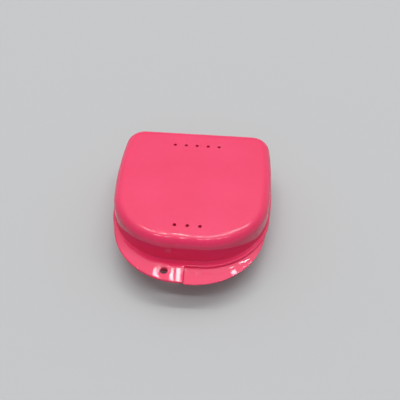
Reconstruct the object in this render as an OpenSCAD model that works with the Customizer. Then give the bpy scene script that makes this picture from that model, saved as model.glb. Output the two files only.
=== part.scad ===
// Denture case: two shallow moulded halves, hinged along the flat back, that close on a thin rim.
// Each half carries one half of a crescent thumb tab. The tabs meet at the middle, one above the other.
// The case stands on its base at z = 0. The front, with the tabs, faces -Y, and the hinge is at +Y.

/* [Case] */
// Width of each half where the halves meet, without the rim
case_w = 80; // [64:1:110]
// Depth of each half where the halves meet, from the flat back to the flat front
case_d = 78; // [60:1:100]
// Height of the closed case
case_h = 28; // [24:1:50]
// Thickness of the walls, the floor and the top
wall_t = 1.6; // [1.4:0.1:2.4]
// Lean of the walls away from the vertical, in degrees
draft = 3.5; // [1:0.5:10]
// Rounding of the top and bottom edges
edge_r = 5; // [3:0.5:6]

/* [Outline] */
// Radius of the back corners
corner_r = 10.5; // [10:0.1:16]
// Radius of the bowed sides
side_r = 190; // [100:1:400]
// Distance from the back to the widest place
widest_d = 26.3; // [20:0.1:34]
// Radius of the large front corners
shoulder_r = 32.4; // [24:0.1:36]

/* [Rim and tabs] */
// Thickness of each rim and tab
flange_t = 1.2; // [1:0.1:2]
// How far the rim stands out at the sides
rim_side = 0.4; // [0.2:0.1:3]
// How far the rim stands out at the front
rim_front = 2.8; // [1:0.1:5]
// Width across both halves of the thumb tab
tab_w = 74.5; // [56:0.5:78]
// How far the thumb tab stands out from the wall at the front
tab_reach = 11.7; // [8:0.1:18]
// Radius of the thumb tab's outer edge
tab_r = 34.5; // [26:0.1:36]
// Bevel on the edges of the rims and tabs
bevel = 0.3; // [0.1:0.05:0.4]

/* [Lanyard hole] */
// Diameter of the hole in the lid's tab
hole_d = 3.4; // [2:0.1:5]
// Distance from the joint between the tabs to the hole's centre
hole_side = 9.3; // [6:0.1:16]
// Distance from the tab's front to the hole's centre
hole_in = 5.7; // [4:0.1:7]
// Diameter of the shallow dish around the hole
dish_d = 7; // [5.5:0.1:8]
// Depth of the dish
dish_h = 0.25; // [0.1:0.05:0.5]

/* [Vents] */
// Diameter of each vent hole
vent_d = 1.6; // [1:0.1:3]
// Spacing of the vent holes in a row
vent_pitch = 5.85; // [4:0.05:8]
// Number of vent holes in the back row
vents_back = 5; // [1:1:7]
// Number of vent holes in the front row
vents_front = 3; // [1:1:5]
// Distance from the back of the case to the back row
vent_back_d = 13.1; // [11:0.1:24]
// Distance from the front of the case to the front row
vent_front_d = 10.6; // [8:0.1:18]

/* [Closing lip] */
// Height of the lip that the base holds up inside the lid
lip_h = 1.2; // [0.6:0.1:2]
// Thickness of the lip
lip_t = 0.7; // [0.5:0.05:0.8]
// Distance from the inside of the wall to the lip
lip_set = 0.1; // [0.05:0.05:0.2]
// Clearance between the lip and the lid
lip_gap = 0.15; // [0.1:0.05:0.25]

/* [Hinge] */
// Distance between the middles of the two hinges
hinge_span = 36; // [24:1:44]
// Radius of the hinge knuckles
knuckle_r = 2.1; // [1.6:0.1:3]
// Clearance between a knuckle and the wall of the other half
knuckle_gap = 0.3; // [0.2:0.05:0.6]
// Length of the lid's knuckle
lid_knuckle_w = 6; // [3:0.5:8]
// Length of each of the base's two knuckles
base_knuckle_w = 2.6; // [2:0.2:4]
// Clearance between neighbouring knuckles
knuckle_side_gap = 0.25; // [0.15:0.05:0.5]
// Diameter of the hinge pins
pin_d = 1.6; // [1:0.1:2]
// Radial clearance of the pin in the lid's knuckle
pin_clearance = 0.06; // [0.02:0.01:0.1]

/* [Hidden] */
$fn = 64;

case_pink = "#f65a80";
pin_steel = "#b9bcc0";

// Steps of the outline's curves, and of the rounded edge
corner_steps = 12;
side_steps = 6;
shoulder_steps = 22;
edge_steps = 7;
tab_steps = 32;
// What a piece reaches into the wall that carries it, and what a cut runs past a face
bite = 0.4;
over = 1;

half_h = case_h / 2;
hinge_off = knuckle_r + knuckle_gap;
// The case is centred between the tab's front and the back of the knuckles
back_y = (case_d + tab_reach - hinge_off - knuckle_r) / 2;
front_y = back_y - case_d;
hinge_y = back_y + hinge_off;
widest_y = back_y - widest_d;

// Centres of the arcs on the right-hand half of the outline
side_cx = case_w / 2 - side_r;
corner_c = arc_inside(back_y - corner_r, corner_r);
shoulder_c = arc_inside(front_y + shoulder_r, shoulder_r);
// Directions from the side arc's centre to where it meets the corner and the shoulder
corner_a = direction_from_side(corner_c);
shoulder_a = direction_from_side(shoulder_c);

tab_cx = tab_w / 2 - tab_r;
tab_front_y = front_y - tab_reach;
tab_cy = tab_front_y + tab_r;
// Each tab is a solid of its own in front of this line, along the middle of the rim
tab_back_y = front_y - rim_front / 2;
hole = [-hole_side, tab_front_y + hole_in];
// The lip ends where the side meets the back corner
lip_back_y = corner_c[1] + corner_r * sin(corner_a);

// Centre, at height y, of a circle of radius r that touches the bowed side from inside
function arc_inside(y, r) = [side_cx + sqrt(pow(side_r - r, 2) - pow(y - widest_y, 2)), y];
function direction_from_side(c) = atan2(c[1] - widest_y, c[0] - side_cx);
function arc(c, r, from, to, steps) =
    [for (k = [0:steps]) let (a = from + (to - from) * k / steps) c + r * [cos(a), sin(a)]];
function mirrored(points) = [for (k = [len(points) - 1:-1:0]) [-points[k][0], points[k][1]]];

// Outline of the case, clockwise from the back, grown outwards by grow
function right_outline(grow) = concat(
    arc(corner_c, corner_r + grow, 90, corner_a, corner_steps),
    [for (k = [1:side_steps - 1])
        let (a = corner_a + (shoulder_a - corner_a) * k / side_steps)
        [side_cx, widest_y] + (side_r + grow) * [cos(a), sin(a)]],
    arc(shoulder_c, shoulder_r + grow, shoulder_a, -90, shoulder_steps)
);
function outline(grow = 0) = concat(right_outline(grow), mirrored(right_outline(grow)));
// The rim's outline is wider at the front than at the sides, and vanishes into the back wall
function rim_outline(grow = 0) =
    [for (p = outline(rim_side + grow)) p - [0, rim_front - rim_side]];
// Outline of the right-hand tab, closed inside the wall
function tab_outline(grow = 0) = concat(
    [[-grow, tab_cy]],
    arc([tab_cx, tab_cy], tab_r + grow, 0, -90, tab_steps),
    [[-grow, tab_front_y - grow]]
);

// Inset and height of a leaning wall with a rounded edge, from where the halves meet outwards
function wall_profile(h, r) =
    let (slope = (h - r) * tan(draft) + r / cos(draft))
    concat([[0, 0]],
        [for (k = [0:edge_steps])
            let (a = draft + (90 - draft) * k / edge_steps)
            [slope - r * cos(a), h - r + r * sin(a)]]);
function at_height(points, z) = [for (p = points) [p[0], p[1], z]];
function reversed(list) = [for (k = [len(list) - 1:-1:0]) list[k]];

// Solid through a stack of level outlines with equally many points, from its outside at the top
module loft(rings) {
    n = len(rings[0]);
    last = len(rings) - 1;
    sides = [for (j = [0:last - 1], i = [0:n - 1])
        let (a = j * n + i, b = j * n + (i + 1) % n)
        each [[a, b + n, b], [a, a + n, b + n]]];
    polyhedron(
        points = [for (ring = rings) each ring],
        faces = concat([[for (i = [0:n - 1]) i]], sides, [[for (i = [n - 1:-1:0]) last * n + i]])
    );
}

// One hollow half, open at z = 0 and closed above
module cup() {
    outside = [for (p = wall_profile(half_h, edge_r)) at_height(outline(-p[0]), p[1])];
    inside = [for (p = wall_profile(half_h - wall_t, edge_r - wall_t))
        at_height(outline(-wall_t - p[0]), p[1])];
    loft(concat(reversed(outside), inside));
}

// Level plate with bevelled edges, from a list of its outline at the bevel and at full size
module bevelled_plate(small, full) {
    loft([
        at_height(small, flange_t),
        at_height(full, flange_t - bevel),
        at_height(full, bevel),
        at_height(small, 0)
    ]);
}

// Rim all round, and one half of the thumb tab on the right
module flange() {
    difference() {
        union() {
            bevelled_plate(rim_outline(-bevel), rim_outline());
            bevelled_plate(tab_outline(-bevel), tab_outline());
        }
        translate([0, 0, -over]) linear_extrude(flange_t + 2 * over) polygon(outline(-bite));
    }
}

// Room of the right-hand tab
module tab_room() {
    translate([0, tab_front_y - over, -over])
        cube([case_w / 2, tab_back_y - tab_front_y + over, flange_t + 2 * over]);
}

module tab() {
    intersection() {
        flange();
        tab_room();
    }
}

// One half with its rim, without its tab
module half() {
    difference() {
        union() {
            cup();
            flange();
        }
        tab_room();
    }
}

// Band inside the wall, from inset_from to inset_to, at the front and sides
module front_band(inset_from, inset_to, h, back) {
    difference() {
        linear_extrude(h) difference() {
            polygon(outline(-inset_from));
            polygon(outline(-inset_to));
        }
        translate([-case_w / 2, back, -over]) cube([case_w, case_d, h + 2 * over]);
    }
}

module lip() {
    inset = wall_t - lip_set;
    translate([0, 0, -bite]) front_band(inset - lip_t, inset, lip_h + bite, lip_back_y);
}

// Room in the lid for the lip
module lip_recess() {
    inset = wall_t - lip_set - lip_t - lip_gap;
    translate([0, 0, -over])
        front_band(inset, wall_t + over, lip_h + lip_gap + over, lip_back_y + bite);
}

// Knuckle on the hinge's axis, with the web that joins it to the wall above it
module knuckle(x, w, bore_d) {
    web_h = knuckle_r - bevel;
    translate([x - w / 2, 0, 0]) difference() {
        union() {
            translate([0, hinge_y, 0]) rotate([0, 90, 0]) cylinder(r = knuckle_r, h = w);
            translate([0, back_y - wall_t / 2, 0]) cube([w, hinge_off + wall_t / 2, web_h]);
        }
        translate([-over, hinge_y, 0]) rotate([0, 90, 0]) cylinder(d = bore_d, h = w + 2 * over);
    }
}

module base_knuckles() {
    reach = (lid_knuckle_w + base_knuckle_w) / 2 + knuckle_side_gap;
    for (hinge = [-1, 1], side = [-1, 1])
        knuckle(hinge * hinge_span / 2 + side * reach, base_knuckle_w, pin_d);
}

module lid_knuckles() {
    for (hinge = [-1, 1])
        knuckle(hinge * hinge_span / 2, lid_knuckle_w, pin_d + 2 * pin_clearance);
}

module vent_row(count, y) {
    for (k = [0:count - 1])
        translate([(k - (count - 1) / 2) * vent_pitch, y, half_h - wall_t - over])
            cylinder(d = vent_d, h = wall_t + 2 * over);
}

module lanyard_hole() {
    translate([hole[0], hole[1], -over]) cylinder(d = hole_d, h = flange_t + 2 * over);
    translate([hole[0], hole[1], flange_t - dish_h])
        cylinder(d1 = hole_d, d2 = dish_d, h = dish_h);
}

// The base's half is upside down, with its tab on the right
module base_shell() {
    color(case_pink) translate([0, 0, half_h]) {
        mirror([0, 0, 1]) {
            half();
            base_knuckles();
        }
        lip();
    }
}

module base_tab() {
    color(case_pink) translate([0, 0, half_h]) mirror([0, 0, 1]) tab();
}

// The lid's tab is on the left
module lid_shell() {
    color(case_pink) translate([0, 0, half_h]) difference() {
        union() {
            mirror([1, 0, 0]) half();
            lid_knuckles();
        }
        lip_recess();
        vent_row(vents_back, back_y - vent_back_d);
        vent_row(vents_front, front_y + vent_front_d);
    }
}

module lid_tab() {
    color(case_pink) translate([0, 0, half_h]) difference() {
        mirror([1, 0, 0]) tab();
        lanyard_hole();
    }
}

// Pin through both of the base's knuckles and the lid's knuckle between them
module hinge_pin(x) {
    pin_l = lid_knuckle_w + 2 * (base_knuckle_w + knuckle_side_gap);
    color(pin_steel) translate([x - pin_l / 2, hinge_y, half_h])
        rotate([0, 90, 0]) cylinder(d = pin_d, h = pin_l);
}

module hinge_pin_left() {
    hinge_pin(-hinge_span / 2);
}

module hinge_pin_right() {
    hinge_pin(hinge_span / 2);
}

base_shell();
base_tab();
lid_shell();
lid_tab();
hinge_pin_left();
hinge_pin_right();
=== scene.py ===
"""Looks of the denture case: two glossy moulded halves, a split thumb tab and a hinge with steel pins.

Shapes are worked out in millimetres, in the case's own frame: the back of the case is towards +Y,
the thumb tabs are towards -Y, and the halves meet at half of its height. Each half is worked out
upright, with its tab on the right and the meeting plane at z = 0. Then the base's half is turned
over, and the lid's is mirrored.
"""
import math

import bpy
import numpy as np
from mathutils import Matrix, Vector
from mathutils.geometry import delaunay_2d_cdt


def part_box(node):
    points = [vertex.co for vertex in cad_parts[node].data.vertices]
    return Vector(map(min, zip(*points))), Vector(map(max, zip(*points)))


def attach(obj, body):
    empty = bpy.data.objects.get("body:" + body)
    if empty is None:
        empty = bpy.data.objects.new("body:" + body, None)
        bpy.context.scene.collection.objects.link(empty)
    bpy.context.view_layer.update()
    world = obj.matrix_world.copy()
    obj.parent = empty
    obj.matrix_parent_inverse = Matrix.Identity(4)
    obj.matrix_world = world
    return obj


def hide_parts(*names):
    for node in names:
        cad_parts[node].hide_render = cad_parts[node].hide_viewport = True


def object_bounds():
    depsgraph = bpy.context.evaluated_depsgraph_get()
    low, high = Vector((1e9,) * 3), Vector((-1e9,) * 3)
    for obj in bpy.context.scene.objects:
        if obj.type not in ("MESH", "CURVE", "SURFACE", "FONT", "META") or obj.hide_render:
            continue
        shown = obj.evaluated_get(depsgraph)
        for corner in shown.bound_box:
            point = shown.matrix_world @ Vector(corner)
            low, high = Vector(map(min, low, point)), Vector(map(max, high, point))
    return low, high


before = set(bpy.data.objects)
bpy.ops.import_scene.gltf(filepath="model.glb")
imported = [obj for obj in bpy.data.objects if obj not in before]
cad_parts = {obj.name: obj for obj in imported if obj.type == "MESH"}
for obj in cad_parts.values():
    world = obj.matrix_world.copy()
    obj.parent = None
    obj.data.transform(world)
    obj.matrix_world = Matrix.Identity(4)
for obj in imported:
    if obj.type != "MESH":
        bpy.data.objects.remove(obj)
cad_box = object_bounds()

MM = 0.001

# Sizes from the frame, in millimetres
tab_low, tab_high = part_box("lid_tab")
pin_low, pin_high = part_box("hinge_pin_right")
CASE_H = cad_box[1].z / MM
HALF_H = CASE_H / 2
TAB_FRONT_Y = tab_low.y / MM
TAB_T = (tab_high.z - tab_low.z) / MM
PIN_R = (pin_high.z - pin_low.z) / 2 / MM
PIN_L = (pin_high.x - pin_low.x) / MM
HINGE_X = (pin_high.x + pin_low.x) / 2 / MM
HINGE_Y = (pin_high.y + pin_low.y) / 2 / MM

# Walls: thickness, lean, rounded top edge, and the fillet at the foot
WALL_T = 1.6
DRAFT = math.radians(3.5)
EDGE_R = 5.0
FOOT_R = 0.18
# Plain ring beside a rounding of the wall, and the height where the plain inside of the wall starts
WALL_RING = 0.4
INNER_WALL_Z = 2.2
# Outline: the sides are bowed, and widest at one place
CASE_W = 80.0
CASE_D = 78.0
HINGE_OFF = 2.4
BACK_Y = HINGE_Y - HINGE_OFF
FRONT_Y = BACK_Y - CASE_D
CORNER_R = 10.5
SIDE_R = 190.0
WIDEST_Y = BACK_Y - 26.3
SHOULDER_R = 32.4
# Rim and tab, and how close their lines are to each other where they blend
RIM_SIDE = cad_box[1].x / MM - CASE_W / 2
RIM_FRONT = 2.8
RIM_LEAST = 0.06
RIM_SOFT = 0.04
TAB_W = 74.5
TAB_R = 34.5
TAB_REACH = FRONT_Y - TAB_FRONT_Y
TAB_SOFT = 0.3
# Rounded edges of the rim, outside and at the meeting face, and the most of its width that each may take
RIM_EDGE_R = 0.7
RIM_EDGE_SHARE = 0.4
MEETING_EDGE_R = 0.16
MEETING_EDGE_SHARE = 0.3
FOOT_SHARE = 0.3
# Plain ring beside a rounding of the rim: a share of the rim's width, or of this width at most
RIM_RING_SHARE = 0.05
RIM_RING_WIDTH = 2.0
# Shallow thumb hollow, which starts at the rim's own edge and covers the tab
SCOOP_H = 0.22
SCOOP_W = 3.3
# Seam between the tabs: its fillets, and the stretch of the wall behind it
SEAM_OUTER_R = 0.6
SEAM_INNER_R = 0.5
SEAM_WALL_X = 2.6
# The rim's rounded edge stays inside the seam's fillet, and grows to its full radius over a stretch
SEAM_INSET = 0.15
SEAM_FADE = 3.0
# Lanyard hole in its dish, with a plain ring at each edge
HOLE_R = 1.7
HOLE = np.array([9.3, TAB_FRONT_Y + 5.7])
HOLE_EDGE_R = 0.2
HOLE_LOW_EDGE = 0.1
HOLE_RING = 0.3
DISH_R = 3.5
DISH_H = 0.25
DISH_RING = 0.15
DISH_FLOOR = 0.1
WINDOW_GAP = 0.45
# Vents: a rounded upper edge, a small lower edge, and a plain ring round both
VENT_R = 0.8
VENT_PITCH = 5.85
VENTS_BACK = 5
VENTS_FRONT = 3
VENT_BACK_Y = BACK_Y - 13.1
VENT_FRONT_Y = FRONT_Y + 10.6
VENT_EDGE_R = 0.18
VENT_LOW_EDGE = 0.05
VENT_RING = 0.12
VENT_TOP_R = VENT_R + VENT_EDGE_R + VENT_RING
VENT_LOW_R = VENT_R + VENT_RING
# Closing lip and the recess that takes it, which both fade out to almost nothing at the back corners
LIP_H = 1.2
LIP_OUT = 0.8
LIP_IN = 1.5
LIP_LEAN = 0.03
LIP_BEVEL = 0.16
LIP_LEAST = 0.02
RECESS_H = 1.35
RECESS_OUT = 0.65
RECESS_BEVEL = 0.08
RECESS_LEAST = 0.04
LIP_FADE = 2.0
LIP_RING = 0.05
# Hinge: knuckles, and the clearance of the pin in the lid's
KNUCKLE_R = cad_box[1].y / MM - HINGE_Y
LID_KNUCKLE_W = 6.0
BASE_KNUCKLE_W = 2.6
KNUCKLE_GAP = 0.25
KNUCKLE_BEVEL = 0.15
BORE_BEVEL = 0.1
PIN_CLEAR = 0.06
PIN_BEVEL = 0.15
PIN_CAP_R = 0.02
# Web from a knuckle into the wall, and the hollow flare on top of it
WEB_H = 1.8
WEB_DEEP = 0.9
WEB_LOW = 0.02
WEB_START = 0.1
FLARE_R = 0.5
FLARE_OFF = 0.35
FLARE_DEEP = 0.2
BARREL_END = math.radians(121)

# Steps along the outline
SHOULDER_STEPS = 64
SIDE_STEPS = 34
CORNER_STEPS = 30
STRAIGHT_STEPS = 10
SEAM_STEPS = 32
SEAM_CORNER_STEPS = 9
# Rings down the rounded top, the wall, the foot's fillet, the rim's two edges and the inside of the wall
TOP_EDGE_RINGS = 15
WALL_RINGS = 6
FOOT_RINGS = 7
RIM_EDGE_RINGS = 9
MEETING_EDGE_RINGS = 5
INNER_WALL_RINGS = 4
# Rings across the rim and across the tab, and the least and most of the way across that the rim's may take
RIM_RINGS = 3
TAB_RINGS = 12
RIM_RINGS_SHARE = (0.3, 0.8)
# Steps round a vent or knuckle, the lanyard hole, a pin and a small rounding, and rings across the dish
ROUND_STEPS = 48
HOLE_STEPS = 64
PIN_STEPS = 32
EDGE_STEPS = 6
DISH_RINGS = 14
# Corners that agree to this many digits of a millimetre are one
SAME_DIGITS = 5
# Added where a division by zero could come up
TINY = 1e-9
# Edges sharper than this are shaded sharp
SHARP_ANGLE = math.radians(32)


def arc_points(centre, radius, start, end, steps):
    """Points on a circle from angle start to angle end: centre + radius * (cos a, sin a)."""
    a = np.linspace(start, end, steps + 1)
    return np.stack([centre[0] + radius * np.cos(a), centre[1] + radius * np.sin(a)], axis=1)


def circle(centre, radius, steps=ROUND_STEPS):
    """Closed circle, counter-clockwise, as a row of points."""
    return arc_points(centre, radius, 0, 2 * math.pi, steps)[:-1]


def quarter(centre, radius, start, end):
    """(radius, height) pairs on a circle, with its angles in degrees."""
    points = arc_points(centre, radius, math.radians(start), math.radians(end), EDGE_STEPS)
    return [tuple(p) for p in points]


def curve_normals(points):
    """Outward normals of a closed counter-clockwise curve, from the points on both sides of each."""
    t = np.roll(points, -1, axis=0) - np.roll(points, 1, axis=0)
    normal = np.stack([t[:, 1], -t[:, 0]], axis=1)
    return normal / np.linalg.norm(normal, axis=1, keepdims=True)


def smooth_max(a, b, soft):
    """The larger of a and b, rounded by a parabola where they are within soft of each other."""
    near = np.maximum(soft - np.abs(a - b), 0) / soft
    return np.maximum(a, b) + near ** 2 * soft / 4


def inside(points, loop):
    """Which points lie inside a closed curve, by counting crossings of a line to the right."""
    a, b = loop[None], np.roll(loop, -1, axis=0)[None]
    x, y = points[:, :1], points[:, 1:]
    spans = (a[..., 1] > y) != (b[..., 1] > y)
    rise = np.where(b[..., 1] == a[..., 1], 1, b[..., 1] - a[..., 1])
    cross = a[..., 0] + (y - a[..., 1]) * (b[..., 0] - a[..., 0]) / rise
    return (spans & (x < cross)).sum(axis=1) % 2 == 1


def touching_arc(y, radius):
    """Centre, at y, of a circle that touches the bowed side from inside."""
    side_cx = CASE_W / 2 - SIDE_R
    return np.array([side_cx + math.sqrt((SIDE_R - radius) ** 2 - (y - WIDEST_Y) ** 2), y])


def case_outline():
    """Wall line of the case, counter-clockwise from the seam between the tabs.

    A straight front, a shoulder arc, the bowed side arc, a corner arc and a straight back, then
    the same mirrored. Returns the points, their outward normals and the radius of curvature there,
    which is taken as very large on a straight stretch.
    """
    side_c = np.array([CASE_W / 2 - SIDE_R, WIDEST_Y])
    corner_c = touching_arc(BACK_Y - CORNER_R, CORNER_R)
    shoulder_c = touching_arc(FRONT_Y + SHOULDER_R, SHOULDER_R)
    corner_a, shoulder_a = (math.atan2(c[1] - side_c[1], c[0] - side_c[0]) for c in (corner_c, shoulder_c))
    parts, radii = [], []

    def add(points, radius):
        parts.append(points[:-1])
        radii.append(np.full(len(points) - 1, radius))

    straight = 1e4
    x = np.linspace(SEAM_WALL_X, shoulder_c[0], STRAIGHT_STEPS + 1)
    add(np.stack([x, np.full_like(x, FRONT_Y)], axis=1), straight)
    add(arc_points(shoulder_c, SHOULDER_R, -math.pi / 2, shoulder_a, SHOULDER_STEPS), SHOULDER_R)
    add(arc_points(side_c, SIDE_R, shoulder_a, corner_a, SIDE_STEPS), SIDE_R)
    add(arc_points(corner_c, CORNER_R, corner_a, math.pi / 2, CORNER_STEPS), CORNER_R)
    x = np.linspace(corner_c[0], 0, STRAIGHT_STEPS + 1)
    add(np.stack([x, np.full_like(x, BACK_Y)], axis=1), straight)
    right, radius = np.concatenate(parts), np.concatenate(radii)
    left = right[::-1] * (-1, 1)
    left[-1, 0] = -SEAM_INNER_R
    # Behind the seam, the points bunch as its own points do
    past_fillet = SEAM_OUTER_R + 0.1
    knots = [0, SEAM_CORNER_STEPS, SEAM_STEPS - SEAM_CORNER_STEPS, SEAM_STEPS]
    ends = [-SEAM_INNER_R, past_fillet, SEAM_WALL_X / 2, SEAM_WALL_X]
    x = np.interp(np.arange(1, SEAM_STEPS), knots, ends)
    seam = np.stack([x, np.full_like(x, FRONT_Y)], axis=1)
    points = np.concatenate([right, [[0, BACK_Y]], left, seam])
    radius = np.concatenate([radius, [straight], radius[::-1], np.full(len(seam), straight)])
    # A normal points away from its arc's centre, or away along Y from the middle of the case
    centre = np.select(
        [radius[:, None] == r for r in (SHOULDER_R, SIDE_R, CORNER_R)],
        [c * np.where(points[:, :1] < 0, (-1, 1), (1, 1)) for c in (shoulder_c, side_c, corner_c)],
        default=points - np.stack([0 * points[:, 0], np.sign(points[:, 1])], axis=1),
    )
    normal = points - centre
    return points, normal / np.linalg.norm(normal, axis=1, keepdims=True), radius


def rim_line(points, normal, radius):
    """Outer edge of the rim with the tab on the right.

    The rim's edge is the wall line grown by the rim's side width and moved to the front, so its
    distance g along a wall's normal n solves |r n + g n - shift| = r + side width. The tab's edge
    is a straight front and a circle, met by the same normal. The larger distance holds, and the
    seam between the tabs is two fillets and a straight line.
    """
    shift = np.array([0, RIM_SIDE - RIM_FRONT])
    along = normal @ shift
    rim_out = along + np.sqrt(along ** 2 + (radius + RIM_SIDE) ** 2 - shift @ shift) - radius
    centre = np.array([TAB_W / 2 - TAB_R, TAB_FRONT_Y + TAB_R])
    offset = points - centre
    near = np.sum(offset * normal, axis=1)
    tab_out = -near + np.sqrt(np.maximum(near ** 2 - np.sum(offset ** 2, axis=1) + TAB_R ** 2, 0))
    tab_out = np.where(points[:, 0] < centre[0], TAB_REACH, tab_out)
    tab_out = np.where((points[:, 0] > 0) & (normal[:, 1] < 0), tab_out, 0)
    out = smooth_max(smooth_max(rim_out, tab_out, TAB_SOFT), RIM_LEAST, RIM_SOFT)
    edge = points + normal * out[:, None]
    inner = arc_points((-SEAM_INNER_R, FRONT_Y - RIM_FRONT - SEAM_INNER_R), SEAM_INNER_R,
                       math.pi / 2, 0, SEAM_CORNER_STEPS)
    outer = arc_points((SEAM_OUTER_R, TAB_FRONT_Y + SEAM_OUTER_R), SEAM_OUTER_R,
                       math.pi, math.pi * 1.5, SEAM_CORNER_STEPS)
    t = np.linspace(0, 1, SEAM_STEPS - len(inner) - len(outer) + 2)[1:-1, None]
    edge[-SEAM_STEPS:] = np.concatenate([inner, inner[-1] * (1 - t) + outer[0] * t, outer])
    return edge


# Lines that both halves are drawn along, with the rim's width and its plain ring at each point
WALL_LINE, WALL_NORMAL, WALL_CURVE_R = case_outline()
RIM_LINE = rim_line(WALL_LINE, WALL_NORMAL, WALL_CURVE_R)
RIM_NORMAL = curve_normals(RIM_LINE)
RIM_WIDTH = np.linalg.norm(RIM_LINE - WALL_LINE, axis=1)
RIM_RING = RIM_RING_SHARE * np.minimum(RIM_WIDTH, RIM_RING_WIDTH)


def level(points, z):
    """The points of a plane curve at height z, which is one number or one for each point."""
    return np.column_stack([points, np.broadcast_to(z, len(points))])


def wall(inset, z):
    """The wall line at height z, drawn in by the inset, which is one number or one for each point."""
    return level(WALL_LINE - WALL_NORMAL * np.reshape(inset, (-1, 1)), z)


def rim(inset, z):
    """The rim's outer edge at height z, drawn in by an inset for each point."""
    return level(RIM_LINE - RIM_NORMAL * np.reshape(inset, (-1, 1)), z)


def loft(rings, outward=True):
    """Quads between neighbouring closed rings of equally many points."""
    n = len(rings[0])
    verts = np.concatenate(rings)
    j, i = np.meshgrid(np.arange(len(rings) - 1), np.arange(n), indexing="ij")
    a, b = j * n + i, j * n + (i + 1) % n
    quads = np.stack([a, a + n, b + n, b] if outward else [a, b, b + n, a + n], axis=-1)
    return verts, quads.reshape(-1, 4)


def turned(centre, profile, steps=ROUND_STEPS):
    """Surface of revolution about an upright axis, from (radius, height) pairs."""
    return loft([level(circle(centre, r, steps), z) for r, z in profile], outward=False)


def level_sheet(outer, holes, z, up=True):
    """Flat sheet at height z inside one closed curve and outside others, as triangles."""
    loops = [outer, *holes]
    ends = np.cumsum([len(loop) for loop in loops])
    edges = []
    for end, loop in zip(ends, loops):
        k = np.arange(end - len(loop), end)
        edges += np.stack([k, np.roll(k, -1)], axis=1).tolist()
    flat = np.concatenate(loops)
    corners, keep_inside, same_place = [Vector(p) for p in flat], 1, 1e-6
    found, _, faces, given, *_ = delaunay_2d_cdt(corners, edges, [], keep_inside, same_place)
    verts = np.array([flat[source[0]] if source else corner for source, corner in zip(given, found)])
    tri = np.array(faces)
    middle = verts[tri].mean(axis=1)
    keep = inside(middle, outer)
    for hole in holes:
        keep &= ~inside(middle, hole)
    tri = tri[keep]
    a, b, c = (verts[tri[:, k]] for k in range(3))
    turn = (b[:, 0] - a[:, 0]) * (c[:, 1] - a[:, 1]) - (b[:, 1] - a[:, 1]) * (c[:, 0] - a[:, 0])
    tri = np.where((turn > 0)[:, None] == up, tri, tri[:, ::-1])
    return level(verts, z), tri


def beyond_rim(xy):
    """Distance beyond the rim's own edge, which is less than zero on the rim.

    The rim's own edge is a straight front and a circle, so this is the distance from the point or
    the line that it is drawn round, less the circle's radius.
    """
    centre_x = touching_arc(FRONT_Y + SHOULDER_R, SHOULDER_R)[0]
    radius = SHOULDER_R + RIM_SIDE
    centre_y = FRONT_Y + SHOULDER_R + RIM_SIDE - RIM_FRONT
    across = np.maximum(np.abs(xy[:, 0]) - centre_x, 0)
    along = xy[:, 1] - centre_y
    return np.hypot(across, np.minimum(along, 0)) - radius - np.maximum(along, 0)


def scoop(xy):
    """Depth of the thumb hollow: a parabola of the distance beyond the rim's own edge, then level."""
    u = np.clip(beyond_rim(xy) / SCOOP_W, 0, 1)
    return SCOOP_H * (1 - (1 - u) ** 2)


def border(quads):
    """Corners round a patch of quads, in order: a side that two of them share isn't on the border."""
    sides = {}
    for quad in quads:
        for a, b in zip(quad, np.roll(quad, -1)):
            if (b, a) in sides:
                del sides[(b, a)]
            else:
                sides[(a, b)] = True
    after = dict(sides.keys())
    loop = [next(iter(after))]
    while after[loop[-1]] != loop[0]:
        loop.append(after[loop[-1]])
    return loop


def tab_sheet(inner, outer, height, up, window_r=None):
    """Face of the rim and tab between two closed curves, as rings.

    The first few rings end at the rim's own edge, where the thumb hollow starts. Round the lanyard
    hole, a window is left open in the rings, and is filled with triangles as far as the circle
    that the hole's own patch starts from, which has the window's radius.
    """
    inner, outer = inner[:, :2], outer[:, :2]
    first, last = beyond_rim(inner), beyond_rim(outer)
    at_rim = np.clip(-first / (last - first + TINY), *RIM_RINGS_SHARE)
    share = [at_rim * k / RIM_RINGS for k in range(RIM_RINGS + 1)]
    share += [at_rim + (1 - at_rim) * k / TAB_RINGS for k in range(1, TAB_RINGS + 1)]
    lines = [inner + (outer - inner) * t[:, None] for t in share]
    lines[0], lines[-1] = inner, outer
    rings = [level(xy, height(xy)) for xy in lines]
    verts, quads = loft(rings if up else rings[::-1])
    if window_r is None:
        return [(verts, quads)]
    near = np.linalg.norm(verts[:, :2] - HOLE, axis=1) < window_r + WINDOW_GAP
    cut = near[quads].any(axis=1)
    edge = verts[border(quads[cut]), :2]
    patch_verts, tri = level_sheet(edge, [circle(HOLE, window_r, HOLE_STEPS)], 0, up)
    patch_verts[:, 2] = height(patch_verts[:, :2])
    return [(verts, quads[~cut]), (patch_verts, tri)]


def joined(patches, flip=False):
    """One mesh from several patches, with the corners that they share merged.

    A mesh that is mirrored afterwards has its faces flipped, so that they point outwards again.
    """
    verts = np.concatenate([v for v, _ in patches])
    starts = np.cumsum([0] + [len(v) for v, _ in patches[:-1]])
    rounded = np.round(verts, SAME_DIGITS)
    _, first, merged = np.unique(rounded, axis=0, return_index=True, return_inverse=True)
    merged = merged.reshape(-1)
    faces = []
    for start, (_, patch) in zip(starts, patches):
        corners = merged[patch + start]
        faces += [f[::-1] if flip else f for f in corners.tolist() if len(set(f)) == len(f)]
    used = np.unique(np.concatenate(faces))
    place = np.zeros(len(first), int)
    place[used] = np.arange(len(used))
    return verts[first][used], [place[f].tolist() for f in faces]


def wall_profile(height, radius):
    """(inset, height) pairs down the rounded top of a leaning wall, and the inset where its top is flat."""
    top_inset = (height - radius) * math.tan(DRAFT) + radius / math.cos(DRAFT)
    a = np.linspace(math.pi / 2, DRAFT, TOP_EDGE_RINGS)
    inset, z = top_inset - radius * np.cos(a), height - radius + radius * np.sin(a)
    return np.stack([inset, z], axis=1), top_inset


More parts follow.
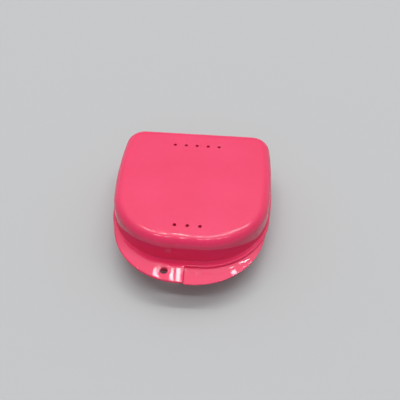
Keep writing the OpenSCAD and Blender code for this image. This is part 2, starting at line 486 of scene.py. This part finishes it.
def outer_wall():
    """Rings from the edge of the flat top, down the leaning wall and round the foot's fillet."""
    profile, top_inset = wall_profile(HALF_H, EDGE_R)
    rings = [wall(top_inset + WALL_RING, HALF_H)] + [wall(i, z) for i, z in profile]
    for z in np.linspace(profile[-1][1], TAB_T + FOOT_R + WALL_RING, WALL_RINGS)[1:]:
        rings.append(wall(z * math.tan(DRAFT), z))
    foot_r = np.minimum(FOOT_R, FOOT_SHARE * RIM_WIDTH)
    centre = (TAB_T + foot_r) * math.tan(DRAFT) - foot_r / math.cos(DRAFT)
    for a in np.linspace(math.pi + DRAFT, math.pi * 1.5, FOOT_RINGS):
        rings.append(wall(centre - foot_r * math.cos(a), TAB_T + foot_r + foot_r * math.sin(a)))
    rings.append(wall(centre - RIM_RING, TAB_T))
    return rings


def rim_edge(high_face, low_face):
    """Rings over the rim's outer edge, from its upper face to the meeting face, with both edges rounded.

    The upper edge's radius is smaller near the seam, where it has to stay inside the seam's fillet.
    """
    aside = np.clip((np.abs(WALL_LINE[:, 0]) - SEAM_WALL_X) / SEAM_FADE, 0, 1)
    from_seam = np.where(WALL_LINE[:, 1] < 0, aside, 1)
    seam_r = SEAM_OUTER_R - SEAM_INSET
    high_r = np.minimum(seam_r + (RIM_EDGE_R - seam_r) * from_seam, RIM_EDGE_SHARE * RIM_WIDTH)
    low_r = np.minimum(MEETING_EDGE_R, MEETING_EDGE_SHARE * RIM_WIDTH)
    high_line, low_line = rim(high_r + RIM_RING, 0)[:, :2], rim(low_r + RIM_RING, 0)[:, :2]
    high_z, low_z = high_face(high_line), low_face(low_line)
    rings = [level(high_line, high_z)]
    for a in np.linspace(math.pi / 2, 0, RIM_EDGE_RINGS):
        rings.append(rim(high_r * (1 - math.cos(a)), high_z - high_r + high_r * math.sin(a)))
    for a in np.linspace(0, -math.pi / 2, MEETING_EDGE_RINGS):
        rings.append(rim(low_r * (1 - math.cos(a)), low_z + low_r + low_r * math.sin(a)))
    rings.append(level(low_line, low_z))
    return rings


def faded(height, least):
    """A height along the wall line, which falls to the least one at the back corners by a smooth step."""
    t = np.clip((BACK_Y - CORNER_R - WALL_LINE[:, 1]) / LIP_FADE, 0, 1)
    return least + (height - least) * (t * t * (3 - 2 * t))


def lip_profile():
    """(inset, height) pairs from the meeting face, round the closing lip, to the inside of the wall.

    The lip's tip is bevelled in two steps, and by less where the lip is low.
    """
    high = faded(LIP_H, LIP_LEAST)
    soft = np.minimum(LIP_BEVEL, 0.4 * high)
    corner = 0.3 * soft
    tip = LIP_OUT + LIP_LEAN
    return [(LIP_OUT - LIP_RING, 0), (LIP_OUT, 0), (tip, -(high - soft)), (tip + corner, -(high - corner)),
            (tip + soft, -high), (LIP_IN - soft, -high), (LIP_IN - corner, -(high - corner)),
            (LIP_IN, -(high - soft)), (LIP_IN, 0), (WALL_T, LIP_RING)]


def recess_profile():
    """(inset, height) pairs from the meeting face, up into the lip's recess, to the inside of the wall."""
    high = faded(RECESS_H, RECESS_LEAST)
    soft = np.minimum(RECESS_BEVEL, 0.3 * high)
    start = RECESS_OUT - RECESS_BEVEL
    return [(start - LIP_RING, 0), (start, 0), (RECESS_OUT, soft), (RECESS_OUT, high - soft),
            (RECESS_OUT + RECESS_BEVEL, high), (WALL_T - RECESS_BEVEL, high),
            (WALL_T + LIP_RING, high + soft)]


def inner_wall(start):
    """Rings along the starting profile, then up the inside of the wall to the edge of the ceiling."""
    profile, top_inset = wall_profile(HALF_H - WALL_T, EDGE_R - WALL_T)
    rings = [wall(i, z) for i, z in start]
    for z in np.linspace(INNER_WALL_Z, profile[-1][1], INNER_WALL_RINGS)[:-1]:
        rings.append(wall(WALL_T + z * math.tan(DRAFT), z))
    rings += [wall(WALL_T + i, z) for i, z in profile[::-1]]
    rings.append(wall(WALL_T + top_inset + WALL_RING, HALF_H - WALL_T))
    return rings


def vent(centre):
    """Round hole through the top, with a rounded upper edge: a profile turned about the axis."""
    top, low = HALF_H, HALF_H - WALL_T
    profile = [(VENT_TOP_R, top)]
    profile += quarter((VENT_R + VENT_EDGE_R, top - VENT_EDGE_R), VENT_EDGE_R, 90, 180)
    profile += [(VENT_R, low + VENT_LOW_EDGE), (VENT_R + VENT_LOW_EDGE, low), (VENT_LOW_R, low)]
    return turned(centre, profile)


def lanyard_hole(face):
    """Hole through the tab in a shallow dish.

    From the face round it, the dish goes over into a level ring by a half cosine wave of the
    radius. The hole's rounded edge, wall and lower edge are a profile turned about its axis.
    """
    dish_in = HOLE_R + HOLE_EDGE_R + DISH_FLOOR
    rings = []
    for r in [DISH_R + DISH_RING, *np.linspace(DISH_R, dish_in, DISH_RINGS)]:
        xy = circle(HOLE, r, HOLE_STEPS)
        share = (1 - math.cos(math.pi * (DISH_R - min(r, DISH_R)) / (DISH_R - dish_in))) / 2
        rings.append(level(xy, face(xy) * (1 - share) + (TAB_T - DISH_H) * share))
    profile = quarter((HOLE_R + HOLE_EDGE_R, TAB_T - DISH_H - HOLE_EDGE_R), HOLE_EDGE_R, 90, 180)
    profile += [(HOLE_R, HOLE_LOW_EDGE), (HOLE_R + HOLE_LOW_EDGE, 0), (HOLE_R + HOLE_RING, 0)]
    rings += [level(circle(HOLE, r, HOLE_STEPS), z) for r, z in profile]
    return loft(rings, outward=False)


def half(start, vents, with_hole):
    """One half of the case as patches.

    Closed curves round the case are joined one to the next: from the edge of the top, down the
    outside of the wall, over the rim and its edge, under the rim to the lip or its recess, which
    the starting profile gives, and up the inside to the edge of the ceiling. The face of the tab
    that shows when the case is closed is hollowed for the thumb: the upper one with the hole, and
    the meeting face without it.
    """
    def high_face(xy):
        return TAB_T - scoop(xy) if with_hole else np.full(len(xy), TAB_T)

    def low_face(xy):
        return np.zeros(len(xy)) if with_hole else scoop(xy)

    high_window, low_window = (DISH_R + DISH_RING, HOLE_R + HOLE_RING) if with_hole else (None, None)
    outside, edge, within = outer_wall(), rim_edge(high_face, low_face), inner_wall(start)
    patches = [loft(outside), loft(edge)]
    patches += tab_sheet(outside[-1], edge[0], high_face, True, high_window)
    patches += tab_sheet(within[0], edge[-1], low_face, False, low_window)
    if with_hole:
        patches.append(lanyard_hole(high_face))
    patches.append(loft(within))
    top, ceiling = outside[0][:, :2], within[-1][:, :2]
    patches.append(level_sheet(top, [circle(c, VENT_TOP_R) for c in vents], HALF_H))
    patches.append(level_sheet(ceiling, [circle(c, VENT_LOW_R) for c in vents], HALF_H - WALL_T, up=False))
    return patches + [vent(c) for c in vents]


def base_mesh():
    """The base's half turned over, with the lip."""
    verts, faces = joined(half(lip_profile(), vents=[], with_hole=False), flip=True)
    return verts * (1, 1, -1) + (0, 0, HALF_H), faces


def lid_mesh():
    """The lid's half, mirrored so that its tab is on the left, with vents and the lanyard hole."""
    def row(count, y):
        return [((k - (count - 1) / 2) * VENT_PITCH, y) for k in range(count)]

    vents = row(VENTS_BACK, VENT_BACK_Y) + row(VENTS_FRONT, VENT_FRONT_Y)
    verts, faces = joined(half(recess_profile(), vents, with_hole=True), flip=True)
    return verts * (-1, 1, 1) + (0, 0, HALF_H), faces


def knuckle_mesh(x, width, bore_r, on_lid):
    """Hinge barrel with the web that joins it to the wall, as a side profile moved along the hinge.

    The profile runs in (y, height over the hinge's axis): round the barrel, over the hollow flare,
    into the wall and back under the web. A base knuckle has its web below the axis.
    """
    axis = (HINGE_Y, 0)
    barrel = arc_points(axis, KNUCKLE_R, -math.pi, BARREL_END, ROUND_STEPS)
    flare_top = WEB_H + FLARE_R
    flare = arc_points((BACK_Y + FLARE_OFF, flare_top), FLARE_R, -math.pi / 2, -math.pi * 0.9, EDGE_STEPS)
    web = [(BACK_Y - FLARE_DEEP, flare_top), (BACK_Y - WEB_DEEP, flare_top), (BACK_Y - WEB_DEEP, WEB_LOW),
           (HINGE_Y - KNUCKLE_R - WEB_START, WEB_LOW)]
    outer = np.concatenate([barrel, flare, web])
    shrunk = outer - curve_normals(outer) * KNUCKLE_BEVEL
    bore, bore_mouth = circle(axis, bore_r), circle(axis, bore_r + BORE_BEVEL)
    low, high = -width / 2, width / 2
    patches = [
        level_sheet(shrunk, [bore_mouth], low, up=False),
        level_sheet(shrunk, [bore_mouth], high),
        loft([level(shrunk, high), level(outer, high - KNUCKLE_BEVEL),
              level(outer, low + KNUCKLE_BEVEL), level(shrunk, low)]),
        loft([level(bore_mouth, low), level(bore, low + BORE_BEVEL),
              level(bore, high - BORE_BEVEL), level(bore_mouth, high)]),
    ]
    verts, faces = joined(patches, flip=not on_lid)
    z = verts[:, 1] if on_lid else -verts[:, 1]
    return np.stack([verts[:, 2] + x, verts[:, 0], z + HALF_H], axis=1), faces


def pin_mesh(x):
    """Steel pin with bevelled ends: a profile turned about the hinge, with a small face at each end."""
    end = PIN_L / 2
    profile = [(PIN_CAP_R, -end), (PIN_R - PIN_BEVEL, -end), (PIN_R, -end + PIN_BEVEL),
               (PIN_R, end - PIN_BEVEL), (PIN_R - PIN_BEVEL, end), (PIN_CAP_R, end)]
    verts, quads = turned((0, 0), profile, PIN_STEPS)
    cap = np.arange(PIN_STEPS)
    caps = [cap[::-1].tolist(), (cap + len(verts) - PIN_STEPS).tolist()]
    placed = np.stack([verts[:, 2] + x, verts[:, 0] + HINGE_Y, verts[:, 1] + HALF_H], axis=1)
    return placed, quads.tolist() + caps


def make_piece(name, verts, faces, material, body, slot):
    """Mesh object from millimetre corners, shaded smooth but for its sharp edges."""
    mesh = bpy.data.meshes.new(name)
    mesh.from_pydata((verts * MM).tolist(), [], faces)
    mesh.validate()
    mesh.shade_smooth()
    mesh.set_sharp_from_angle(angle=SHARP_ANGLE)
    mesh.materials.append(material)
    piece = bpy.data.objects.new(name, mesh)
    bpy.context.scene.collection.objects.link(piece)
    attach(piece, body)
    return piece


def node(tree, kind, inputs=None, **settings):
    """New shader node with its settings; inputs are values, or the outputs to link."""
    made = tree.nodes.new(kind)
    for name, value in settings.items():
        setattr(made, name, value)
    for name, value in (inputs or {}).items():
        if isinstance(value, bpy.types.NodeSocket):
            tree.links.new(value, made.inputs[name])
        else:
            made.inputs[name].default_value = value
    return made


def worked_out(tree, operation, *values):
    """Result of one step of arithmetic on numbers or outputs."""
    return node(tree, "ShaderNodeMath", dict(enumerate(values)), operation=operation).outputs[0]


def sum_of(tree, first, second, share):
    """The first number plus a share of the second."""
    return worked_out(tree, "MULTIPLY_ADD", second, share, first)


def spread(tree, source, span, low, high):
    """A number that runs from low to high while the source runs over its span."""
    made = node(tree, "ShaderNodeMapRange", {"Value": source, "From Min": span[0], "From Max": span[1],
                                             "To Min": low, "To Max": high})
    return made.outputs["Result"]


def blended(tree, factor, first, second):
    """Colour between the first and the second, as the factor goes from 0 to 1."""
    made = node(tree, "ShaderNodeMix", {"Factor": factor, "A": (*first, 1), "B": (*second, 1)},
                data_type="RGBA")
    return made.outputs[2]


def cloud(tree, where, scale, detail=2.0, roughness=0.5):
    """Soft noise over the object coordinates, from 0 to 1."""
    made = node(tree, "ShaderNodeTexNoise", {"Vector": where, "Scale": scale, "Detail": detail,
                                             "Roughness": roughness})
    return made.outputs["Fac"]


def streaks(tree, where, turn, thin, long):
    """Thin straight marks that run one way: noise drawn out along a line, turned about the upright axis."""
    drawn = node(tree, "ShaderNodeMapping", {"Vector": where, "Rotation": (0, 0, math.radians(turn)),
                                             "Scale": (long, thin, long)})
    return cloud(tree, drawn.outputs["Vector"], scale=1, detail=1)


def new_material(name):
    """New material, with its node tree and its shader."""
    material = bpy.data.materials.new(name)
    material.use_nodes = True
    return material, material.node_tree, material.node_tree.nodes["Principled BSDF"]


def bump(tree, shader, height, strength, distance):
    """Relief of a shader, from a height that is a share of a distance in metres."""
    made = node(tree, "ShaderNodeBump", {"Strength": strength, "Distance": distance, "Height": height})
    tree.links.new(made.outputs["Normal"], shader.inputs["Normal"])


def plastic():
    """Glossy moulded plastic: a slightly uneven pink, with soft waves, smudges and hair-fine scratches."""
    material, tree, shader = new_material("glossy_pink_plastic")
    where = node(tree, "ShaderNodeTexCoord").outputs["Object"]
    # Colour: broad, faint clouds of pigment, and fine speckle
    deep_pink, light_pink = (0.82, 0.036, 0.125), (0.855, 0.044, 0.149)
    pigment = sum_of(tree, cloud(tree, where, scale=45, detail=3), cloud(tree, where, scale=1400), 0.3)
    colour = blended(tree, spread(tree, pigment, (0.45, 0.85), 0, 1), deep_pink, light_pink)
    tree.links.new(colour, shader.inputs["Base Color"])
    # Light goes a little way into the plastic, red light the furthest
    shader.inputs["Subsurface Weight"].default_value = 0.25
    shader.inputs["Subsurface Radius"].default_value = (1.0, 0.2, 0.3)
    shader.inputs["Subsurface Scale"].default_value = 0.0025
    # Scratches of use, which run two ways and only here and there
    scratched = spread(tree, cloud(tree, where, scale=70, detail=1), (0.5, 0.62), 0, 1)
    one_way = spread(tree, streaks(tree, where, turn=28, thin=4200, long=60), (0.66, 0.74), 0, 1)
    other_way = spread(tree, streaks(tree, where, turn=-53, thin=3600, long=45), (0.66, 0.74), 0, 1)
    marks = worked_out(tree, "MULTIPLY", worked_out(tree, "MAXIMUM", one_way, other_way), scratched)
    # Roughness: smudges of handling, and the scratches
    smudge = spread(tree, cloud(tree, where, scale=120, detail=4, roughness=0.6), (0.35, 0.7), 0.016, 0.034)
    tree.links.new(sum_of(tree, smudge, marks, 0.04), shader.inputs["Roughness"])
    # Surface: soft waves of the moulding, less the depth of the scratches
    waves = cloud(tree, where, scale=160, detail=1)
    bump(tree, shader, sum_of(tree, waves, marks, -0.3), strength=0.01, distance=0.0002)
    return material


def steel():
    """Drawn steel wire: fine grooves along the pin, and a greyer, duller film in patches."""
    material, tree, shader = new_material("pin_steel")
    where = node(tree, "ShaderNodeTexCoord").outputs["Object"]
    film = cloud(tree, where, scale=900, detail=3)
    filmed = (0.35, 0.65)
    drawn = node(tree, "ShaderNodeMapping", {"Vector": where, "Scale": (120, 9000, 9000)})
    grooves = cloud(tree, drawn.outputs["Vector"], scale=1)
    dull_grey, clean_grey = (0.46, 0.46, 0.47), (0.62, 0.63, 0.65)
    colour = blended(tree, spread(tree, film, filmed, 0, 1), dull_grey, clean_grey)
    tree.links.new(colour, shader.inputs["Base Color"])
    shader.inputs["Metallic"].default_value = 1
    rough = sum_of(tree, spread(tree, film, filmed, 0.38, 0.24), grooves, 0.1)
    tree.links.new(rough, shader.inputs["Roughness"])
    bump(tree, shader, grooves, strength=0.3, distance=0.00002)
    return material


def pale_floor():
    """Pale floor, which gives the object's sides less light back than it shows to the eye."""
    material, tree, shader = new_material("floor")
    shown, lit = (0.5, 0.508, 0.516), (0.10, 0.10, 0.10)
    path = node(tree, "ShaderNodeLightPath").outputs
    seen = worked_out(tree, "ADD", path["Is Camera Ray"], path["Is Glossy Ray"])
    seen = worked_out(tree, "ADD", seen, path["Is Transmission Ray"])
    tree.links.new(blended(tree, seen, lit, shown), shader.inputs["Base Color"])
    shader.inputs["Roughness"].default_value = 0.9
    return material


pink = plastic()
pin_finish = steel()


def add_hinge(x, name):
    """One hinge: a lid knuckle between two base knuckles, and the pin."""
    make_piece("lid_knuckle_" + name, *knuckle_mesh(x, LID_KNUCKLE_W, PIN_R + PIN_CLEAR, on_lid=True),
               pink, "lid", "case_plastic")
    beside = (LID_KNUCKLE_W + BASE_KNUCKLE_W) / 2 + KNUCKLE_GAP
    for side, end in ((-1, "a"), (1, "b")):
        make_piece(f"base_knuckle_{name}_{end}",
                   *knuckle_mesh(x + side * beside, BASE_KNUCKLE_W, PIN_R, on_lid=False),
                   pink, "base", "case_plastic")
    pin = make_piece("pin_" + name, *pin_mesh(x), pin_finish, "base", "pin_steel")
    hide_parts("hinge_pin_" + name)


lid = make_piece("lid_half", *lid_mesh(), pink, "lid", "case_plastic")
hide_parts("lid_shell", "lid_tab")
base = make_piece("base_half", *base_mesh(), pink, "base", "case_plastic")
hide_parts("base_shell", "base_tab")
add_hinge(-HINGE_X, "left")
add_hinge(HINGE_X, "right")


# Camera at the photograph's angle: its place round the middle of the case, in degrees and millimetres,
# its aim in degrees, and its lens in millimetres
CAMERA_AZIMUTH = 5.682
CAMERA_ELEVATION = 48.909
CAMERA_DISTANCE = 245.137
AIM_TURN = 4.295
AIM_DOWN = 48.339
CAMERA_ROLL = 0.458
LENS = 43.028
SENSOR_W = 36


def add_camera():
    """The scene's camera, at its angles and distance, aimed by a turn, a tilt and a roll."""
    a, e = math.radians(CAMERA_AZIMUTH), math.radians(CAMERA_ELEVATION)
    camera = bpy.data.objects.new("camera", bpy.data.cameras.new("camera"))
    bpy.context.scene.collection.objects.link(camera)
    camera.data.lens = LENS
    camera.data.sensor_width = SENSOR_W
    camera.data.clip_start = 0.01
    away = Vector((math.sin(a) * math.cos(e), -math.cos(a) * math.cos(e), math.sin(e)))
    place = Matrix.Translation((Vector((0, 0, HALF_H)) + away * CAMERA_DISTANCE) * MM)
    turn = Matrix.Rotation(math.radians(AIM_TURN), 4, "Z")
    tilt = Matrix.Rotation(math.radians(90 - AIM_DOWN), 4, "X")
    camera.matrix_world = place @ (turn @ tilt) @ Matrix.Rotation(math.radians(CAMERA_ROLL), 4, "Z")
    bpy.context.scene.camera = camera


add_camera()

# In metres
FLOOR_SIZE = 6
bpy.ops.mesh.primitive_plane_add(size=FLOOR_SIZE)
floor = bpy.context.object
floor.name = "floor"
floor.data.materials.append(pale_floor())


# Wash: strength at the horizon, strength overhead, and the height from which the second one holds
WASH_HORIZON = 0.6
WASH_OVERHEAD = 0.2
WASH_TOP_Z = 0.4
# Glow behind and above the case: strength, elevation and narrowness
GLOW_STRENGTH = 1.62
GLOW_ELEVATION = math.radians(68)
GLOW_POWER = 8.0


def studio_wash():
    """World light: a soft glow behind and above the case, and a wash that is brighter at the horizon.

    The glow is a power of the cosine of the angle from its middle. The wash changes evenly with
    the height of the direction, from the horizon up.
    """
    world = bpy.data.worlds.new("world")
    bpy.context.scene.world = world
    world.use_nodes = True
    tree = world.node_tree
    along = node(tree, "ShaderNodeTexCoord").outputs["Generated"]
    behind = (0, math.cos(GLOW_ELEVATION), math.sin(GLOW_ELEVATION))
    facing = node(tree, "ShaderNodeVectorMath", {0: along, 1: behind}, operation="DOT_PRODUCT")
    glow = worked_out(tree, "POWER", worked_out(tree, "MAXIMUM", facing.outputs["Value"], 0.0), GLOW_POWER)
    height = node(tree, "ShaderNodeSeparateXYZ", {"Vector": along}).outputs["Z"]
    wash = spread(tree, height, (0, WASH_TOP_Z), WASH_HORIZON, WASH_OVERHEAD)
    total = worked_out(tree, "ADD", wash, spread(tree, glow, (0, 1), 0, GLOW_STRENGTH))
    background = tree.nodes["Background"]
    background.inputs["Color"].default_value = (1, 1, 1, 1)
    tree.links.new(total, background.inputs["Strength"])


studio_wash()

# Distance of the lamps in metres
LAMP_REACH = 5.0


def pane(across, up, width, height, brightness, mirrored=True):
    """Lamp that is a bright rectangle in the sky, with its place and size in degrees.

    Seen from the tabs' front edge, up goes from 0 behind the case, over 90 above it, to 180 before
    it, and across is the angle out of that upright plane, to the right. A lamp that isn't mirrored
    gives light but doesn't show in the gloss.
    """
    a, u = math.radians(across), math.radians(up)
    towards = Vector((math.sin(a), math.cos(a) * math.cos(u), math.cos(a) * math.sin(u)))
    side = Vector((math.cos(a), -math.sin(a) * math.cos(u), -math.sin(a) * math.sin(u)))
    light = bpy.data.lights.new("pane", "AREA")
    light.shape = "RECTANGLE"
    light.size = 2 * LAMP_REACH * math.tan(math.radians(width) / 2)
    light.size_y = 2 * LAMP_REACH * math.tan(math.radians(height) / 2)
    light.energy = brightness * math.pi * light.size * light.size_y
    lamp = bpy.data.objects.new("pane", light)
    bpy.context.scene.collection.objects.link(lamp)
    turn = Matrix((side, towards.cross(side), towards)).transposed().to_4x4()
    place = Matrix.Translation(towards * LAMP_REACH + Vector((0, TAB_FRONT_Y, HALF_H)) * MM)
    lamp.matrix_world = place @ turn
    lamp.visible_camera = False
    lamp.visible_glossy = mirrored


# Soft fill from the front
pane(across=0, up=138, width=50, height=30, brightness=0.85, mirrored=False)
# Soft light at both sides, which also shows in the rounded edges
for side in (-1, 1):
    pane(across=side * 45, up=60, width=44, height=70, brightness=0.32)
# Two rows of small lamps give the highlights along the top edge, one behind and one overhead: across, width
REAR_LAMPS = [(-22.9, 1.4), (-19.5, 1.0), (-16.5, 1.0), (-13.5, 1.2), (-10.7, 0.5), (-8.8, 1.2),
              (-3.95, 0.55), (-2.35, 1.0), (1.4, 1.0), (4.3, 1.0), (7.75, 1.3), (11.4, 1.2), (14.3, 0.6),
              (17.3, 0.9), (21.5, 1.3), (26.7, 2.4)]
OVERHEAD_LAMPS = [(-17.5, 5), (-9, 4), (-4.5, 0.7), (-1.7, 2), (4.7, 3), (13.3, 3), (21, 2)]
for across, width in REAR_LAMPS:
    pane(across, up=71.4, width=width, height=3.4, brightness=44)
for across, width in OVERHEAD_LAMPS:
    pane(across, up=99.5, width=width, height=5, brightness=18)
# Lamps low behind the case, which the tabs mirror: across, up, width, height
LEFT_TAB_LAMPS = [(-7.55, 58.3, 0.75, 3.0), (-5.7, 60.4, 0.45, 8.2), (-4.85, 60.4, 0.5, 8.2)]
RIGHT_TAB_LAMPS = [(2.0, 56.65, 0.6, 0.4), (2.9, 55.5, 0.8, 0.8), (7.5, 62, 1.6, 4), (4.6, 63, 0.6, 2),
                   (3.85, 55.2, 0.5, 0.6)]
for lamp in LEFT_TAB_LAMPS:
    pane(*lamp, brightness=17)
for lamp in RIGHT_TAB_LAMPS:
    pane(*lamp, brightness=20)

bpy.context.scene.view_settings.view_transform = "Standard"
